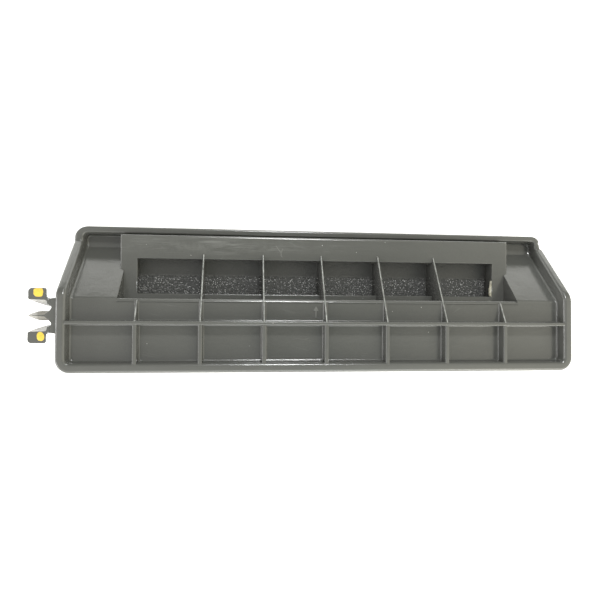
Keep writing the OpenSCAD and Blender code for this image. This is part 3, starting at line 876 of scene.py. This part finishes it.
def build_foam():
    """A foam block with cell relief on both faces, a mask of its struts and painted shade, and a mask of its
    painted glints.
    """
    y_lit = WIN_Y1 - (PLATE - FOAM_TOP) * 0.8
    a, b = span("foam_element")
    step = 0.32
    x0, x1, y0, y1, z0, z1 = a.x, min(b.x, WIN_X + 3.4), a.y, b.y, a.z, b.z
    xs = np.linspace(x0, x1, int((x1 - x0) / step))
    ys = np.linspace(y0, y1, int((y1 - y0) / step))
    X, Y = np.meshgrid(xs, ys, indexing="ij")
    nx, ny = X.shape
    edge = np.minimum(np.minimum(X - x0, x1 - X), np.minimum(Y - y0, y1 - Y))
    fade = np.clip(edge / 0.6, 0, 1)
    layers = []
    for side, face, seed in ((1, z1, 3), (-1, z0, 5)):
        gap, who = cell_field(X + rng.normal(0, 0.05, X.shape), Y, 1.08, seed)
        strut_and_painted_shade = np.clip(1 - gap / 0.22, 0, 1)
        deep = (1 - strut_and_painted_shade) * (0.55 + 0.6 * who) * np.clip(gap / 0.5, 0.3, 1)
        # painted glints go only where light reaches past the window's upper edge; the rest lies in its shade
        lit = np.clip((y_lit + 0.5 * (who - 0.5) - Y) / 0.8, 0, 1) if side > 0 else 1.0
        rough = rng.normal(0, 0.06, X.shape)
        h = -(0.1 + deep * (0.12 + 0.25 * lit) + np.abs(rough) * (0.3 + 0.7 * lit)) * fade
        # painted shade: in the lit part the cells darker than the struts, in the shaded band one flat tone
        strut_and_painted_shade = 0.35 * strut_and_painted_shade * lit + 0.85 * (1 - lit)
        points = np.stack([X, Y, face + side * h], -1).reshape(-1, 3)
        layers.append((points, strut_and_painted_shade.ravel(), (lit * fade).ravel()))
    n = nx * ny
    pts = np.concatenate([layers[0][0], layers[1][0]])
    I, J = np.meshgrid(np.arange(nx - 1), np.arange(ny - 1), indexing="ij")
    q = (I * ny + J).ravel()
    top = np.stack([q, q + ny, q + ny + 1, q + 1], 1)
    bot = top[:, ::-1] + n
    loop = [i * ny for i in range(nx)] + [(nx - 1) * ny + j for j in range(1, ny)]
    loop += [i * ny + ny - 1 for i in range(nx - 2, -1, -1)] + list(range(ny - 2, 0, -1))
    sides = [(v, u, u + n, v + n) for u, v in zip(loop, loop[1:] + loop[:1])]
    faces = np.concatenate([top, bot, np.array(sides)])
    me = bpy.data.meshes.new("foam_block")
    me.from_pydata(row(pts).tolist(), [], faces.tolist())
    me.polygons.foreach_set("use_smooth", [True] * len(me.polygons))
    for name, k in (("strut_and_painted_shade", 1), ("painted_glint", 2)):
        at = me.attributes.new(name, "FLOAT", "POINT")
        at.data.foreach_set("value", np.concatenate([layers[0][k], layers[1][k]]).astype(np.float32))
    me.materials.append(FOAM)
    ob = bpy.data.objects.new("foam_block", me)
    SCN.collection.objects.link(ob)
    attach(ob, "filter")
    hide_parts("foam_element")


def build_adhesive():
    """A pale bead along the lower part of the window's right edge, thinner and uneven upwards."""
    ys = np.linspace(WIN_Y0 + 0.1, WIN_Y0 + 8.8, 44)
    xr = WIN_X + 0.12
    rings = []
    rn = np.random.default_rng(4)
    for y in ys:
        t = (y - ys[0]) / (ys[-1] - ys[0])
        w = 0.58 - 0.26 * min(1.0, max(0.0, (t - 0.55) / 0.15))
        w *= 1 + 0.1 * math.sin(y * 3.1) + 0.08 * rn.uniform(-1, 1)
        w *= min(1.0, 0.4 + t * 9, 0.4 + (1 - t) * 9)
        top = PLATE - 0.45 + 0.1 * math.sin(y * 2.3)
        rings.append(lift([(xr - 2 * w, top - 1.4), (xr - 2 * w, top - 0.5), (xr - 1.5 * w, top - 0.1),
                           (xr - 0.4, top), (xr, top - 0.1), (xr, top - 1.4)], "y", y))
    make("window_edge_adhesive", *stack(rings), mat=GLUE, sharp=80.0)


# ---------------------------------------------------------------- retainer grid
def build_retainer():
    """The grid behind the foam: a rim and five bars."""
    look = dict(body="retainer", slot="retainer_plastic", mat=DARK)
    a, b = span("retainer_frame")
    rim = 5.0
    keep = np.ones((3, 3), bool)
    keep[1, 1] = False
    xs, ys = [a.x, a.x + rim, b.x - rim, b.x], [a.y, a.y + rim, b.y - rim, b.y]
    ob = make("retainer_rim", *grid_solid(xs, ys, keep, flat, a.z, b.z), **look)
    bevel(ob, 0.5)
    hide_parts("retainer_frame")
    c, d = span("retainer_bars")
    parts = []
    pitch = (d.x - c.x - 2.0) / 4
    for i in range(5):
        x = c.x + 1.0 + i * pitch
        sec = rounded([(x - 1, c.z), (x + 1, c.z), (x + 1, d.z), (x - 1, d.z)], 0.45)
        parts.append(stack([lift(sec, "y", c.y - 0.6), lift(sec, "y", d.y + 0.6)]))
    ob = make("retainer_grid_bars", *merge(*parts), sharp=60.0, **look)
    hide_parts("retainer_bars")


build_rim()
build_skin()
build_box()
build_ribs()
build_arrow()
build_gate_mark()
build_web()
build_spear()
build_latch("upper", 1)
build_latch("lower", -1)
build_foam()
build_adhesive()
build_retainer()


# ---------------------------------------------------------------- stage, light and camera
def build_stage():
    """A pale floor just under the part, glowing faintly so that it stays even."""
    m, nt, obj = new_mat("pale_sweep")
    col = mix_c(nt, noise(nt, obj, 6.0, 3.0), (0.93, 0.93, 0.93, 1), (0.96, 0.96, 0.95, 1))
    sh = nd(nt, "ShaderNodeBsdfPrincipled", None, Base_Color=col, Roughness=0.9)
    sh.inputs["Emission Color"].default_value = (1, 1, 0.99, 1)
    sh.inputs["Emission Strength"].default_value = 0.35
    nd(nt, "ShaderNodeOutputMaterial", None, Surface=sh.outputs[0])
    me = bpy.data.meshes.new("floor")
    k, z = 2.5, -0.0006
    me.from_pydata([(-k, -k, z), (k, -k, z), (k, k, z), (-k, k, z)], [], [(0, 1, 2, 3)])
    me.materials.append(m)
    ob = bpy.data.objects.new("floor", me)
    SCN.collection.objects.link(ob)
    ob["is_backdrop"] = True


def build_room():
    """A white room with a darker patch overhead, brighter low in front and towards the right."""
    world = bpy.data.worlds.new("soft_room")
    SCN.world = world
    world.use_nodes = True
    nt = world.node_tree
    bg = nt.nodes["Background"]
    x, y, z = nd(nt, "ShaderNodeSeparateXYZ", None,
                 Vector=nd(nt, "ShaderNodeTexCoord").outputs["Generated"]).outputs[:3]
    patch = add(nt, squared_off(nt, x, 0.16, 0.42), squared_off(nt, y, 0.09, 0.16))
    patch = mul(nt, math_n(nt, "EXPONENT", mul(nt, patch, -1.0)), remap(nt, z, 0.0, 0.5, 0.0, 0.92))
    right = mul(nt, remap(nt, x, 0.12, 0.45, 1.0, 2.1), remap(nt, x, 0.5, 0.9, 1.0, 0.4))
    up = mul(nt, remap(nt, z, 0.1, 0.85, 0.95, 1.1), remap(nt, y, 0.2, 0.85, 1.0, 0.2))
    up = mul(nt, up, remap(nt, y, -0.9, -0.25, 2.8, 1.0))
    tint = mix_c(nt, remap(nt, x, -0.3, 0.12, 0.0, 1.0), (1.0, 0.985, 0.955, 1), (0.93, 1.0, 0.965, 1))
    tint = mix_c(nt, remap(nt, x, 0.16, 0.42, 0.0, 1.0), tint, (1.0, 0.975, 0.83, 1))
    nt.links.new(tint, bg.inputs[0])
    level = mul(nt, mul(nt, up, right), math_n(nt, "SUBTRACT", 1.0, patch))
    nt.links.new(mul(nt, level, 0.78), bg.inputs[1])


# name, place, aim, size across and along, power, colour
LAMPS = (
    ("key", (0.085, 0.76, 0.90), (0.0, 0.0, 0.03), 0.20, 0.13, 7.0, (1, 1, 1)),
    ("tall_window", (0.03, 1.0, 0.60), (0.0, 0.0, 0.03), 0.12, 0.85, 3.0, (0.95, 1.0, 0.98)),
    ("front", (0.25, -0.9, 0.5), (0.0, 0.0, 0.03), 1.5, 0.25, 7.5, (1, 1, 1)),
    ("fill_left", (-0.9, -0.1, 0.30), (0.0, 0.0, 0.03), 0.8, 0.3, 5.0, (1, 1, 1)),
    ("fill_right", (1.2, 0.0, 0.45), (0.12, 0.0, 0.03), 1.5, 0.9, 5.0, (1.0, 0.96, 0.82)),
)


def build_lamps():
    for name, place, aim, across, along, power, colour in LAMPS:
        light = bpy.data.lights.new(name, "AREA")
        light.shape, light.size, light.size_y = "RECTANGLE", across, along
        light.energy, light.color = power, colour
        ob = bpy.data.objects.new(name, light)
        ob.location = place
        ob.rotation_euler = (Vector(aim) - Vector(place)).to_track_quat("-Z", "Y").to_euler()
        SCN.collection.objects.link(ob)


def build_camera():
    """Close above the part, left of its middle, looking almost straight down."""
    cam = bpy.data.cameras.new("camera")
    cam.sensor_width = 36.0
    cam.lens = 32.2165
    cam.clip_start = 0.01
    ob = bpy.data.objects.new("camera", cam)
    SCN.collection.objects.link(ob)
    ob.location = (-0.035058, -0.007322, 0.307997)
    ob.rotation_euler = (0.022262, -0.107649, 0.005901)
    bpy.context.scene.camera = ob


build_stage()
build_room()
build_lamps()
build_camera()
SCN.view_settings.view_transform = "Standard"
SCN.view_settings.look = "None"
SCN.view_settings.gamma = 1.12

bounds_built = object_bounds()
as_list = lambda b: [[float(v) for v in c] for c in b]
{"loaded": as_list(bounds_loaded), "built": as_list(bounds_built)}
